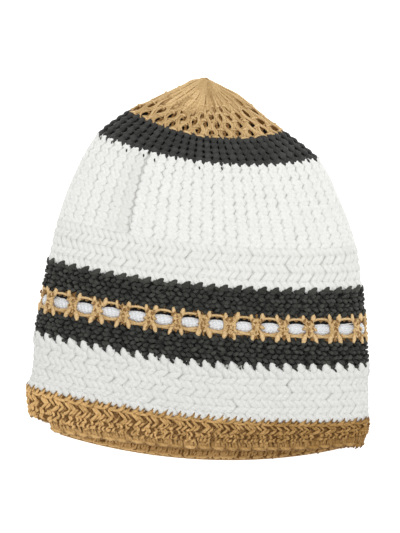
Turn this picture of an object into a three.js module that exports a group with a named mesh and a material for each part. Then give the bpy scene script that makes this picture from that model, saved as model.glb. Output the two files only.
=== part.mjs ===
// A crocheted cap lying flat on its back layer: millimetres, +X to the right, +Y towards the peak, +Z up.
// The origin is on the surface that the cap lies on, at the middle of its outline.
import * as THREE from "three";

// Sizes that drive the whole cap.
const wall = 5; // thickness of the crocheted fabric
const netWall = 3; // thinner where single strands make the net and the peak
const gap = 0.36; // between one band and the next
const stitchesRound = 54;
const windowsRound = 27; // one window for each two stitches
const netHolesRound = 24;
const netRounds = 4;
const gatherPleats = 24;
const bandBulge = 0.7; // each band stands proud between its joins by this much

// One row for each ring of the cap, from the peak to the opening.
// down: distance along the middle of the top layer. left, right: where the ring folds over.
// bowTop, bowUnder: how far the middle of each layer hangs towards the opening, below the line between the folds.
// crest, fold, base: heights of the top layer, of the two folds and of the under layer.
const columns = ["name", "down", "leftX", "leftY", "rightX", "rightY", "bowTop", "bowUnder", "crest", "fold", "base"];
const ringTable = [
  ["tip", 0, 4.3, 127.8, 7.9, 126.5, 2, -2, 21, 20, 19],
  ["gatherEnd", 15, -12.8, 123.2, 27.8, 117.6, 11.2, -4.5, 26, 16, 9.5],
  ["netMiddle", 25, -31.5, 114.6, 45, 104.2, 10.2, -7, 29, 14, 3],
  ["netEnd", 35, -46.2, 108, 58.7, 93.7, 12, -4, 31, 13, 0.8],
  ["crownBandEnd", 53, -68, 91.5, 82, 74.8, 12.6, -1.5, 35, 13, 0],
  ["bodyUpper", 80, -84.5, 62.5, 97.5, 45, 10.5, 2, 40, 13, 0],
  ["bodyLower", 108, -95, 34, 108, 15.5, 9, 5.5, 43, 13, 0],
  ["bodyEnd", 135.5, -101.5, 5.5, 112, -13.5, 8, 8, 43, 13, 0],
  ["upperStripeEnd", 153, -105, -12, 114, -31.5, 7.5, 9.5, 42, 13, 0],
  ["eyeletEnd", 168.5, -108, -28.5, 115.5, -49, 6, 10, 40, 13, 0],
  ["lowerStripeEnd", 187.5, -110.5, -45.5, 116, -67.5, 7, 12, 37.5, 13, 0],
  ["lowerBandLow", 214, -113, -72, 116.5, -93, 8, 15, 33, 12.5, 0],
  ["lowerBandEnd", 224, -116, -80, 116.5, -102.5, 8.5, 16.5, 31, 12.5, 0],
  ["rimEnd", 241.5, -114.5, -100.5, 115.5, -113, 11, 18.6, 28, 12, 0],
  ["edgingEnd", 245.5, -113.5, -104, 113.5, -118, 10.5, 18.8, 27.5, 12, 0],
];
const rings = ringTable.map((row) => Object.fromEntries(columns.map((column, i) => [column, row[i]])));
const downAt = Object.fromEntries(rings.map((ring) => [ring.name, ring.down]));

// How square the cross-section is: each layer is an arch, squarer where it must turn over at the folds
// within a small height, so that the fold keeps its radius.
const foldRadius = 7;
const leastSquare = 2.5;
const mostSquare = 12;
const bowPower = 0.9;
const flatDepth = 0.6; // the under layer is pressed flat by this much where it touches the surface

// The last round leaves out a little over two stitches on each side of the left fold, so the edge has a step
// on the top layer and one on the under layer.
const lastRoundStart = 2.25 / stitchesRound;
const lastRoundEnd = 1 - 2.25 / stitchesRound;

// Value of one column at a distance down the cap, on a smooth curve through the rows.
function columnAt(column, down) {
  const last = rings.length - 1;
  let i = 0;
  while (i < last - 1 && down > rings[i + 1].down) i += 1;
  const here = rings[i];
  const next = rings[i + 1];
  const slopeAt = (k) => {
    const before = rings[Math.max(k - 1, 0)];
    const after = rings[Math.min(k + 1, last)];
    return (after[column] - before[column]) / (after.down - before.down);
  };
  const span = next.down - here.down;
  const t = (down - here.down) / span;
  const t2 = t * t;
  const t3 = t2 * t;
  const startPart = (2 * t3 - 3 * t2 + 1) * here[column] + (t3 - 2 * t2 + t) * span * slopeAt(i);
  const endPart = (-2 * t3 + 3 * t2) * next[column] + (t3 - t2) * span * slopeAt(i + 1);
  return startPart + endPart;
}

const archAt = (across, square) => Math.sqrt(Math.max(0, 1 - Math.abs(across) ** square));
const squareFor = (halfWidth, rise) => {
  const square = (2 * halfWidth * foldRadius) / (rise * rise);
  return Math.min(mostSquare, Math.max(leastSquare, square));
};

// Places across a layer, -1 to 1, at equal lengths along its arc, so that stitches keep one width.
function evenPlaces(rise, square) {
  const samples = 2000;
  const lengths = [0];
  const places = [-1];
  for (let i = 1; i <= samples; i += 1) {
    const across = -Math.cos((Math.PI * i) / samples);
    const stepX = across - places[i - 1];
    const stepZ = rise * (archAt(across, square) - archAt(places[i - 1], square));
    lengths.push(lengths[i - 1] + Math.hypot(stepX, stepZ));
    places.push(across);
  }
  return (share) => {
    const wanted = share * lengths[samples];
    let low = 0;
    let high = samples;
    while (high - low > 1) {
      const middle = (low + high) >> 1;
      if (lengths[middle] <= wanted) low = middle;
      else high = middle;
    }
    const part = (wanted - lengths[low]) / (lengths[high] - lengths[low]);
    return places[low] + part * (places[high] - places[low]);
  };
}
const topPlace = evenPlaces(0.26, leastSquare);
const underPlace = evenPlaces(0.12, 9);

// Point on the outside of the cap. round goes 0 to 0.5 over the top layer, left to right, and back underneath to 1.
function outsideAt(round, down) {
  const turn = round - Math.floor(round);
  const onTop = turn <= 0.5;
  const across = onTop ? topPlace(turn * 2) : underPlace(2 - turn * 2);
  const at = (column) => columnAt(column, down);
  const share = (across + 1) / 2;
  const x = at("leftX") + (at("rightX") - at("leftX")) * share;
  const chordY = at("leftY") + (at("rightY") - at("leftY")) * share;
  const bow = Math.max(0, 1 - across * across) ** bowPower * (onTop ? at("bowTop") : at("bowUnder"));
  const rise = (onTop ? at("crest") : at("base")) - at("fold");
  const arch = archAt(across, squareFor((at("rightX") - at("leftX")) / 2, rise));
  return new THREE.Vector3(x, chordY - bow, at("fold") + rise * arch);
}

function outwardAt(round, down) {
  const stepRound = 0.002;
  const stepDown = 0.4;
  const nearPeak = Math.max(down, stepDown);
  const alongRound = outsideAt(round + stepRound, nearPeak).sub(outsideAt(round - stepRound, nearPeak));
  const alongDown = outsideAt(round, nearPeak + stepDown).sub(outsideAt(round, nearPeak - stepDown));
  return alongDown.cross(alongRound).normalize();
}

// A point at a depth below the outside surface, then moved down the cap by a short shift.
// The outside never goes under the surface that the cap lies on.
function pointAt(round, down, depth, shift = 0) {
  const outside = outsideAt(round, down);
  const step = 0.4;
  const alongCap = outsideAt(round, down + step).sub(outsideAt(round, down)).normalize();
  const point = outside.addScaledVector(outwardAt(round, down), -depth).addScaledVector(alongCap, shift);
  if (depth < wall / 2) point.z = Math.max(point.z, flatDepth);
  return point;
}

// A closed strip of fabric from a lattice of places round and down the cap.
// places: list of round values. lines: list of {down, outer, inner, shift}, where outer may be a function of round.
// open(round, j) tells which cells are cut through, from the middle of the cell. closedTop joins the first line to one point.
function fabricStrip({ places, lines, open = () => false, closedTop = false }) {
  const count = places.length;
  const rows = lines.length;
  const vertices = [];
  const outer = [];
  const inner = [];
  lines.forEach((line, j) => {
    outer.push([]);
    inner.push([]);
    places.forEach((round) => {
      const outerDepth = typeof line.outer === "function" ? line.outer(round) : line.outer;
      outer[j].push(vertices.push(pointAt(round, line.down, outerDepth, line.shift)) - 1);
      inner[j].push(vertices.push(pointAt(round, line.down, line.inner, line.shift)) - 1);
    });
  });
  const faces = [];
  const quad = (a, b, c, d) => faces.push(a, b, c, a, c, d);
  const middleOf = (i) => (places[i] + (i + 1 < count ? places[i + 1] : places[0] + 1)) / 2;
  const isOpen = (i, j) => j < 0 || j >= rows - 1 || open(middleOf((i + count) % count), j);
  for (let j = 0; j < rows - 1; j += 1) {
    for (let i = 0; i < count; i += 1) {
      if (isOpen(i, j)) continue;
      const k = (i + 1) % count;
      quad(outer[j][i], outer[j + 1][i], outer[j + 1][k], outer[j][k]);
      quad(inner[j][i], inner[j][k], inner[j + 1][k], inner[j + 1][i]);
      if (isOpen(i, j - 1) && !(closedTop && j === 0)) quad(outer[j][i], outer[j][k], inner[j][k], inner[j][i]);
      if (isOpen(i, j + 1)) quad(outer[j + 1][i], inner[j + 1][i], inner[j + 1][k], outer[j + 1][k]);
      if (isOpen(i - 1, j)) quad(outer[j + 1][i], outer[j][i], inner[j][i], inner[j + 1][i]);
      if (isOpen(i + 1, j)) quad(outer[j][k], outer[j + 1][k], inner[j + 1][k], inner[j][k]);
    }
  }
  if (closedTop) {
    [outer, inner].forEach((side) => {
      const middle = new THREE.Vector3();
      side[0].forEach((index) => middle.addScaledVector(vertices[index], 1 / count));
      const centre = vertices.push(middle) - 1;
      for (let i = 0; i < count; i += 1) {
        const k = (i + 1) % count;
        if (side === outer) faces.push(centre, side[0][i], side[0][k]);
        else faces.push(centre, side[0][k], side[0][i]);
      }
    });
  }
  const geometry = new THREE.BufferGeometry();
  geometry.setAttribute("position", new THREE.Float32BufferAttribute(vertices.flatMap((p) => [p.x, p.y, p.z]), 3));
  geometry.setIndex(faces);
  geometry.computeVertexNormals();
  return geometry;
}

const evenRound = (count, phase = 0) => Array.from({ length: count }, (_, i) => (i + phase) / count);

// Adds places at the two folds, where the fabric turns tightly. Bands that meet share their places, so they end alike.
function withFolds(places) {
  const foldReach = 0.045;
  const parts = 2;
  return places.flatMap((round, i) => {
    const next = i + 1 < places.length ? places[i + 1] : places[0] + 1;
    const middle = (round + next) / 2;
    const fromFold = Math.abs(middle * 2 - Math.round(middle * 2)) / 2;
    if (fromFold > foldReach) return [round];
    return Array.from({ length: parts }, (_, k) => round + ((next - round) * k) / parts);
  });
}

// Half the gap at the start of a strip, and half at its end.
const startShift = gap / 2;
const endShift = -gap / 2;

// Lines of a plain band between two distances down, with its bulge.
function bandLines({ from, to, steps }) {
  return Array.from({ length: steps + 1 }, (_, j) => ({
    down: from + ((to - from) * j) / steps,
    outer: -bandBulge * Math.sin((Math.PI * j) / steps),
    inner: wall,
    shift: j === 0 ? startShift : j === steps ? endShift : 0,
  }));
}

const yarnColours = { tan: 0xd0a469, charcoal: 0x3c3c3a, white: 0xecece6 };

function yarnMesh(name, colour, geometry) {
  const material = new THREE.MeshStandardMaterial({ color: yarnColours[colour], roughness: 0.9, metalness: 0 });
  material.name = colour + "_yarn";
  const mesh = new THREE.Mesh(geometry, material);
  mesh.name = name;
  return mesh;
}

const crownPlaces = withFolds(evenRound(netHolesRound * 2));
const bodyPlaces = withFolds(evenRound(stitchesRound, 0.5));

function plainBand(name, colour, from, to, steps, places) {
  const lines = bandLines({ from: downAt[from], to: downAt[to], steps });
  return yarnMesh(name, colour, fabricStrip({ places, lines }));
}

// The peak: pleats run from the drawn-in tip and die out at the net.
function crownGather() {
  const pleatDepth = 0.9;
  const places = crownPlaces;
  const shares = [0, 0.3, 0.65, 1];
  const end = downAt.gatherEnd;
  const lines = shares.map((share) => {
    const fade = Math.sin(Math.PI * (0.15 + 0.85 * share));
    return {
      down: share * end,
      shift: share === 1 ? endShift : 0,
      outer: (round) => pleatDepth * fade * (0.5 - 0.5 * Math.cos(2 * Math.PI * gatherPleats * round)),
      inner: netWall,
    };
  });
  return yarnMesh("crown_gather", "tan", fabricStrip({ places, lines, closedTop: true }));
}

// The net: rounds of holes, each round half a hole further on than the one above it.
function crownNet() {
  const holeShare = 0.58; // of the height of one round
  const places = crownPlaces;
  const from = downAt.gatherEnd;
  const to = downAt.netEnd;
  const roundHeight = (to - from) / netRounds;
  const lines = [];
  for (let k = 0; k <= netRounds; k += 1) {
    const barMiddle = from + k * roundHeight;
    const halfBar = (roundHeight * (1 - holeShare)) / 2;
    if (k > 0) lines.push({ down: barMiddle - halfBar, outer: 0.4, inner: netWall });
    if (k < netRounds) lines.push({ down: barMiddle + halfBar, outer: 0.4, inner: netWall });
  }
  lines.unshift({ down: from, outer: 0, inner: netWall, shift: startShift });
  lines.push({ down: to, outer: 0, inner: wall, shift: endShift }); // as thick as the band that it meets
  // Cells between a pair of bars are hole rows: line 1 to 2, 3 to 4 and so on.
  const holesAt = (round) => Math.floor(round * netHolesRound * 2);
  const open = (round, j) => j % 2 === 1 && (holesAt(round) + (j - 1) / 2) % 2 === 0;
  return yarnMesh("crown_net", "tan", fabricStrip({ places, lines, open }));
}

// Places round the eyelet stripe: the edges and the middle of each window and of each cluster between two windows.
const windowShare = 0.56;
const firstWindow = 0.25; // place of the first window after the left fold, in windows
const windowShifts = [-windowShare / 2, windowShare / 2, 0.5];
const eyeletPlaces = evenRound(windowsRound).flatMap((round) =>
  windowShifts.map((shift) => round + (firstWindow + shift) / windowsRound),
);

const windowHeight = 6;
const laceDepth = { from: 2.9, to: 4.8 };
const channelSlope = 0.5; // the channel's sides lean by this much

// The windows are cut through, and a channel inside the stripe holds the carried yarn behind them.
function eyeletStripe() {
  const from = downAt.upperStripeEnd;
  const to = downAt.eyeletEnd;
  const middle = (from + to) / 2;
  const channel = windowHeight / 2 + channelSlope;
  const skin = laceDepth.from - gap;
  const lines = [
    { down: from, outer: 0, inner: wall, shift: startShift },
    { down: middle - channel, outer: -bandBulge / 2, inner: wall },
    { down: middle - windowHeight / 2, outer: -bandBulge, inner: skin },
    { down: middle + windowHeight / 2, outer: -bandBulge, inner: skin },
    { down: middle + channel, outer: -bandBulge / 2, inner: wall },
    { down: to, outer: 0, inner: wall, shift: endShift },
  ];
  const fromWindow = (round) => {
    const window = round * windowsRound - firstWindow;
    return Math.abs(window - Math.round(window));
  };
  const open = (round, j) => j === 2 && fromWindow(round) < windowShare / 2;
  return yarnMesh("eyelet_stripe", "tan", fabricStrip({ places: eyeletPlaces, lines, open }));
}

function lacingYarn() {
  const middle = (downAt.upperStripeEnd + downAt.eyeletEnd) / 2;
  const half = windowHeight / 2 - gap;
  const lines = [middle - half, middle + half].map((down) => ({ down, outer: laceDepth.from, inner: laceDepth.to }));
  return yarnMesh("lacing_yarn", "white", fabricStrip({ places: eyeletPlaces, lines }));
}

function rimEdging() {
  const lines = bandLines({ from: downAt.rimEnd, to: downAt.edgingEnd, steps: 1 });
  const open = (round) => round > lastRoundEnd || round < lastRoundStart;
  return yarnMesh("rim_edging", "tan", fabricStrip({ places: bodyPlaces, lines, open }));
}

const cap = new THREE.Group();
cap.name = "cap";
cap.add(
  crownGather(),
  crownNet(),
  plainBand("crown_band", "charcoal", "netEnd", "crownBandEnd", 3, crownPlaces),
  plainBand("body_band", "white", "crownBandEnd", "bodyEnd", 4, crownPlaces),
  plainBand("upper_stripe", "charcoal", "bodyEnd", "upperStripeEnd", 2, bodyPlaces),
  eyeletStripe(),
  lacingYarn(),
  plainBand("lower_stripe", "charcoal", "eyeletEnd", "lowerStripeEnd", 2, bodyPlaces),
  plainBand("lower_band", "white", "lowerStripeEnd", "lowerBandEnd", 3, bodyPlaces),
  plainBand("rim_band", "tan", "lowerBandEnd", "rimEnd", 2, bodyPlaces),
  rimEdging(),
);

// Sets the origin on the surface under the middle of the outline.
const box = new THREE.Box3().setFromObject(cap);
cap.position.set(-(box.min.x + box.max.x) / 2, -(box.min.y + box.max.y) / 2, -box.min.z);

export default cap;
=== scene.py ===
import bpy
import math
import numpy as np
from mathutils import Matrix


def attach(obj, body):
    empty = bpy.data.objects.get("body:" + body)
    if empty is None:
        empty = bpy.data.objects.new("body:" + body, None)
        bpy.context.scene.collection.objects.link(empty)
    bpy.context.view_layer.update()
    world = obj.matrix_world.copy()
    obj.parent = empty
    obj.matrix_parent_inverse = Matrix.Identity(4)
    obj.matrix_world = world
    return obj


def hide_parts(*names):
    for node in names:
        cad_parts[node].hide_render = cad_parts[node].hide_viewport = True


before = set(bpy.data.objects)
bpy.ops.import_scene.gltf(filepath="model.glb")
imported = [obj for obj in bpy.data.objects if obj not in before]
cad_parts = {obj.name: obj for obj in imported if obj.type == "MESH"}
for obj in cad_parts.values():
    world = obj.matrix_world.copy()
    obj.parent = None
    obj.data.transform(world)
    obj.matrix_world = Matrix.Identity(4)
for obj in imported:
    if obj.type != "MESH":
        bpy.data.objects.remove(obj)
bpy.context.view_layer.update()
bpy.ops.object.select_all(action="DESELECT")
rng = np.random.default_rng(7)

# Rings of the cap in mm, from the peak to the opening, as in the solids.
# down runs along the middle of the top layer, bow is how far a layer hangs towards the opening.
ringColumns = ["name", "down", "leftX", "leftY", "rightX", "rightY",
               "bowTop", "bowUnder", "crest", "fold", "base"]
ringTable = [
    ["tip", 0, 4.3, 127.8, 7.9, 126.5, 2, -2, 21, 20, 19],
    ["gatherEnd", 15, -12.8, 123.2, 27.8, 117.6, 11.2, -4.5, 26, 16, 9.5],
    ["netMiddle", 25, -31.5, 114.6, 45, 104.2, 10.2, -7, 29, 14, 3],
    ["netEnd", 35, -46.2, 108, 58.7, 93.7, 12, -4, 31, 13, 0.8],
    ["crownBandEnd", 53, -68, 91.5, 82, 74.8, 12.6, -1.5, 35, 13, 0],
    ["bodyUpper", 80, -84.5, 62.5, 97.5, 45, 10.5, 2, 40, 13, 0],
    ["bodyLower", 108, -95, 34, 108, 15.5, 9, 5.5, 43, 13, 0],
    ["bodyEnd", 135.5, -101.5, 5.5, 112, -13.5, 8, 8, 43, 13, 0],
    ["upperStripeEnd", 153, -105, -12, 114, -31.5, 7.5, 9.5, 42, 13, 0],
    ["eyeletEnd", 168.5, -108, -28.5, 115.5, -49, 6, 10, 40, 13, 0],
    ["lowerStripeEnd", 187.5, -110.5, -45.5, 116, -67.5, 7, 12, 37.5, 13, 0],
    ["lowerBandLow", 214, -113, -72, 116.5, -93, 8, 15, 33, 12.5, 0],
    ["lowerBandEnd", 224, -116, -80, 116.5, -102.5, 8.5, 16.5, 31, 12.5, 0],
    ["rimEnd", 241.5, -114.5, -100.5, 115.5, -113, 11, 18.6, 28, 12, 0],
    ["edgingEnd", 245.5, -113.5, -104, 113.5, -118, 10.5, 18.8, 27.5, 12, 0],
]
rings = dict(zip(ringColumns[1:], np.array([row[1:] for row in ringTable], dtype=float).T))
downAt = {row[0]: row[1] for row in ringTable}

capShape = {
    "shift": (-0.377, 0.562, -0.6),  # mm, from the table to the part's origin
    "foldRadius": 7,  # mm, of the folds at the two sides
    "leastSquare": 2.5,  # power of a layer's arc: 2 is round, and more is squarer
    "mostSquare": 12,
    "underSquare": 9,
    "topRise": 0.26,  # height of a layer's arc, as a share of half its width
    "underRise": 0.12,
    "bowPower": 0.9,
    "pressedAt": 0.6,  # mm in the table's heights, where the surface presses the under layer flat
    "wall": 5,
    "netWall": 3,
    "shellDepth": 2.8,  # mm from the outside to the fabric behind the strands
    "gap": 0.2,  # mm between that fabric and the end of its piece
    "stitches": 54,
    "windows": 27,
    "firstWindow": 0.25,  # in windows, from the left fold
    "lowerSag": (2, 0.25, 0.09),  # height in mm, middle and width of a hill around the cap
}
stitchCount = capShape["stitches"]
perStitch = 1 / stitchCount


def hill(value, shape):
    # shape: height, middle and width; it is nearly flat at two widths from the middle
    high, middle, wide = shape
    return high * np.exp(-((value - middle) / wide)**2)


def archAt(across, square):
    return np.sqrt(np.maximum(0, 1 - np.abs(across) ** square))


def evenPlaces(rise, square, samples=2001):
    # places across a layer at equal lengths along its arc
    across = -np.cos(np.linspace(0, math.pi, samples))
    stepLength = np.hypot(np.diff(across), rise * np.diff(archAt(across, square)))
    share = np.concatenate([[0], np.cumsum(stepLength)])
    return share / share[-1], across


topShares, topPlaces = evenPlaces(capShape["topRise"], capShape["leastSquare"])
underShares, underPlaces = evenPlaces(capShape["underRise"], capShape["underSquare"])


def ringValues(down):
    # every column at these distances down, on smooth curves through the rows
    knots = rings["down"]
    last = len(knots) - 1
    i = np.clip(np.searchsorted(knots, down, side="right") - 1, 0, last - 1)
    span = knots[i + 1] - knots[i]
    t = (down - knots[i]) / span
    before = np.maximum(np.arange(last + 1) - 1, 0)
    after = np.minimum(np.arange(last + 1) + 1, last)
    found = {}
    for column in ringColumns[2:]:
        value = rings[column]
        slope = (value[after] - value[before]) / (knots[after] - knots[before])
        start = (2 * t**3 - 3 * t**2 + 1) * value[i] + (t**3 - 2 * t**2 + t) * span * slope[i]
        end = (3 * t**2 - 2 * t**3) * value[i + 1] + (t**3 - t**2) * span * slope[i + 1]
        found[column] = start + end
    return found


def onRings(roundAt, down):
    # roundAt: 0 at the left fold, 0.5 at the right fold, the under layer beyond
    turn = roundAt % 1
    onTop = turn <= 0.5
    overPlace = np.interp(turn * 2, topShares, topPlaces)
    belowPlace = np.interp(2 - turn * 2, underShares, underPlaces)
    across = np.where(onTop, overPlace, belowPlace)
    at = ringValues(down)
    share = (across + 1) / 2
    halfWidth = (at["rightX"] - at["leftX"]) / 2
    bow = np.where(onTop, at["bowTop"], at["bowUnder"])
    bow = bow * np.maximum(0, 1 - across**2) ** capShape["bowPower"]
    rise = np.where(onTop, at["crest"], at["base"]) - at["fold"]
    square = np.clip(2 * halfWidth * capShape["foldRadius"] / rise**2,
                     capShape["leastSquare"], capShape["mostSquare"])
    x = at["leftX"] + 2 * halfWidth * share
    y = at["leftY"] + (at["rightY"] - at["leftY"]) * share - bow
    z = at["fold"] + rise * archAt(across, square)
    return np.stack([x, y, z], axis=-1)


def outsideAt(roundAt, down):
    # beyond the last ring the surface runs straight on
    last = rings["down"][-1]
    beyond = np.maximum(down - last, 0)[..., None]
    here = onRings(roundAt, np.minimum(down, last))
    return here + (here - onRings(roundAt, np.minimum(down, last) - 1)) * beyond


def unit(vectors):
    return vectors / np.maximum(np.linalg.norm(vectors, axis=-1, keepdims=True), 1e-9)


def outwardAt(roundAt, down, roundStep=0.002, downStep=0.4):
    near = np.maximum(down, downStep)
    alongRound = outsideAt(roundAt + roundStep, near) - outsideAt(roundAt - roundStep, near)
    alongDown = outsideAt(roundAt, near + downStep) - outsideAt(roundAt, near - downStep)
    return unit(np.cross(alongDown, alongRound))


def capPoints(roundAt, down, height, clearance=0):
    # points in mm at a height above the cap's outside, and the way out; nothing goes under the floor
    outward = outwardAt(roundAt, down)
    place = outsideAt(roundAt, down) + outward * height[..., None]
    place[..., 2] = np.maximum(place[..., 2], capShape["pressedAt"] + clearance)
    return place + capShape["shift"], outward


# width of one stitch in mm, at each mm down, from 8 steps a stitch around the cap
widthDowns = np.arange(int(rings["down"][-1]) + 2)
widthRounds = np.linspace(0, 1, 8 * stitchCount + 1)[None, :]
widthRings = outsideAt(widthRounds, widthDowns[:, None] + 0 * widthRounds)
stitchWidths = np.linalg.norm(np.diff(widthRings, axis=1), axis=-1).sum(axis=1) / stitchCount


def stitchWidth(down):
    return np.interp(down, widthDowns, stitchWidths)


class Maths:
    # a number socket that Python's operators turn into Math nodes
    def __init__(self, tree, socket):
        self.tree = tree
        self.socket = socket

    def join(self, operation, *values):
        node = addNode(self.tree, "ShaderNodeMath", {"operation": operation}, dict(enumerate(values)))
        return Maths(self.tree, node.outputs[0])

    def __add__(self, other):
        return self.join("ADD", self, other)

    def __radd__(self, other):
        return self.join("ADD", other, self)

    def __sub__(self, other):
        return self.join("SUBTRACT", self, other)

    def __rsub__(self, other):
        return self.join("SUBTRACT", other, self)

    def __mul__(self, other):
        return self.join("MULTIPLY", self, other)

    def __rmul__(self, other):
        return self.join("MULTIPLY", other, self)

    def sine(self):
        return self.join("SINE", self)


def addNode(tree, kind, settings=None, values=None):
    # values: numbers, colours or links, by the name or number of the socket
    node = tree.nodes.new(kind)
    for name, setting in (settings or {}).items():
        setattr(node, name, setting)
    for name, value in (values or {}).items():
        if isinstance(value, Maths):
            value = value.socket
        if isinstance(value, bpy.types.NodeSocket):
            tree.links.new(value, node.inputs[name])
        else:
            node.inputs[name].default_value = value
    return node


def mixColours(tree, share, first, second):
    # a Mix node's colours are its sockets 6 and 7, and their mix comes out of socket 2
    return addNode(tree, "ShaderNodeMix", {"data_type": "RGBA"}, {0: share, 6: first, 7: second}).outputs[2]


def newMaterial(name, values):
    # a plain material with these numbers and colours on its shader
    material = bpy.data.materials.new(name)
    material.use_nodes = True
    tree = material.node_tree
    shader = tree.nodes["Principled BSDF"]
    for title, value in values.items():
        shader.inputs[title].default_value = value
    return material, tree, shader


def yarnMaterial(name, look):
    # crocheted yarn: twisted plies and fine fibres on the strand's own map, with painted shade where it lies
    # low
    material, tree, shader = newMaterial(name, {
        "Roughness": look["roughness"],
        "Specular IOR Level": look["specular"],
        "Sheen Weight": look["sheen"],
        "Sheen Roughness": look["sheenRoughness"],
        "Sheen Tint": (*look["sheenTint"], 1),
        "Emission Color": (*look["glowTint"], 1),  # painted glow for light that comes through the fibres
        "Emission Strength": look["glow"]})
    strandMap = addNode(tree, "ShaderNodeUVMap", {"uv_map": "strandMap"})
    axes = addNode(tree, "ShaderNodeSeparateXYZ", {}, {0: strandMap.outputs[0]})
    aroundStrand = Maths(tree, axes.outputs[0])
    alongStrand = Maths(tree, axes.outputs[1])
    place = addNode(tree, "ShaderNodeTexCoord").outputs["Object"]

    def attribute(title):
        return Maths(tree, addNode(tree, "ShaderNodeAttribute", {"attribute_name": title}).outputs["Fac"])

    def noise(scale, detail, vector=place):
        values = {"Vector": vector, "Scale": scale, "Detail": detail, "Roughness": 0.6}
        return Maths(tree, addNode(tree, "ShaderNodeTexNoise", {}, values).outputs[0])

    tone = attribute("strandTone")
    plies = ((aroundStrand * look["plies"] + alongStrand * look["twist"]) * (2 * math.pi)).sine()
    fibrePlace = addNode(tree, "ShaderNodeCombineXYZ", {}, {
        0: aroundStrand * look["fibres"] + alongStrand * (look["twist"] * look["fibres"] / look["plies"]),
        1: alongStrand * look["fibreStep"],
        2: tone * look["toneStep"]})
    fibres = noise(1, 4, fibrePlace.outputs[0])
    patches = noise(look["patchScale"], 2)
    fuzz = noise(look["fuzzScale"], 3)
    light = (tone * look["toneSpread"] + patches * look["patchSpread"] + fibres * look["fibreSpread"]
             + plies * look["plySpread"])
    if look["sideFade"]:
        # a little darker towards the right
        sides = addNode(tree, "ShaderNodeSeparateXYZ", {}, {0: place})
        light = light - Maths(tree, sides.outputs[0]) * look["sideFade"]
    light = addNode(tree, "ShaderNodeMapRange", {"clamp": True}, {
        "Value": light, "From Min": look["darkAt"], "From Max": look["lightAt"]}).outputs[0]
    surface = mixColours(tree, light, (*look["dark"], 1), (*look["light"], 1))
    # painted shade: the yarn's shade colour mixed in by how low the strand lies among the others
    colour = mixColours(tree, attribute("paintedShade") * look["paintedShadeShare"], surface, (*look["shadeColour"], 1))
    relief = plies * look["plyRelief"] + fibres * look["fibreRelief"] + fuzz * look["fuzzRelief"]
    bump = addNode(tree, "ShaderNodeBump", {}, {
        "Height": relief, "Strength": look["bump"], "Distance": look["reliefHigh"]})
    tree.links.new(colour, shader.inputs["Base Color"])
    tree.links.new(bump.outputs[0], shader.inputs["Normal"])
    return material


sameInEveryYarn = {
    "plies": 3, "twist": 0.42, "fibres": 14, "fibreStep": 2.5, "toneStep": 40,
    "patchScale": 60, "fuzzScale": 2600,
    "toneSpread": 0.35, "patchSpread": 0.5, "fibreSpread": 0.35, "plySpread": 0.07,
    "darkAt": 0.2, "lightAt": 0.95, "sideFade": 0,
    "plyRelief": 0.5, "fibreRelief": 0.9, "fuzzRelief": 0.5, "reliefHigh": 0.0004,
    "roughness": 0.88, "specular": 0.25, "sheen": 0.1, "sheenRoughness": 0.5,
    "sheenTint": (1, 1, 1), "glow": 0, "glowTint": (1, 1, 1)}
# an orange sheen tint and an orange painted glow for the tan yarns
tanGlow = {"sheenTint": (1, 0.85, 0.6), "glow": 0.035, "glowTint": (1, 0.45, 0.1)}
# the third colour of each yarn is the colour of its painted shade
yarnLooks = {  # linear colours
    "crownTan": {
        "dark": (0.44, 0.3, 0.13), "light": (0.73, 0.535, 0.285), "shadeColour": (0.17, 0.08, 0.018),
        "paintedShadeShare": 0.89, "bump": 0.6, "sheen": 0.15, **tanGlow, "glow": 0.06},
    "rimTan": {
        "dark": (0.33, 0.184, 0.052), "light": (0.74, 0.475, 0.2), "shadeColour": (0.095, 0.036, 0.006),
        "paintedShadeShare": 0.84, "sideFade": 3, "bump": 0.7, "sheen": 0.12, **tanGlow},
    "charcoal": {
        "dark": (0.019, 0.019, 0.0185), "light": (0.066, 0.066, 0.062), "shadeColour": (0.005, 0.005, 0.005),
        "paintedShadeShare": 0.95, "bump": 0.9},
    "stripeCharcoal": {
        "dark": (0.016, 0.0165, 0.014), "light": (0.076, 0.078, 0.067), "shadeColour": (0.003, 0.003, 0.003),
        "paintedShadeShare": 0.97, "bump": 0.9},
    "white": {
        "dark": (0.66, 0.665, 0.64), "light": (0.72, 0.72, 0.695), "shadeColour": (0.54, 0.54, 0.505),
        "paintedShadeShare": 0.5, "bump": 0.4, "glow": 0.125},
    # the white again with less painted glow and a little darker: painted shade for the less lit lower band
    "shadedLowerWhite": {
        "dark": (0.65, 0.655, 0.63), "light": (0.71, 0.71, 0.685), "shadeColour": (0.59, 0.59, 0.55),
        "paintedShadeShare": 0.35, "bump": 0.45, "glow": 0.06},
    "lacing": {
        "dark": (0.73, 0.745, 0.76), "light": (0.83, 0.845, 0.86), "shadeColour": (0.57, 0.59, 0.62),
        "paintedShadeShare": 0.5, "bump": 0.6, "glow": 0.05},
}
yarns = {name: yarnMaterial(name + "Yarn", {**sameInEveryYarn, **look})
         for name, look in yarnLooks.items()}
print("materials made")


def smoothPath(rows, count):
    # a smooth curve of count points through the rows
    padded = np.vstack([2 * rows[0] - rows[1], rows, 2 * rows[-1] - rows[-2]])
    place = np.linspace(0, len(rows) - 1, count)
    i = np.minimum(place.astype(int), len(rows) - 2)
    t = (place - i)[:, None]
    a, b, c, d = (padded[i + k] for k in range(4))
    bend = (2 * a - 5 * b + 4 * c - d) * t**2 + (3 * b - a - 3 * c + d) * t**3
    return 0.5 * (2 * b + (c - a) * t + bend)


def newPiece():
    return {"vertices": [], "faces": [], "maps": [], "tones": [], "paintedShade": [], "count": 0}


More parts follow.
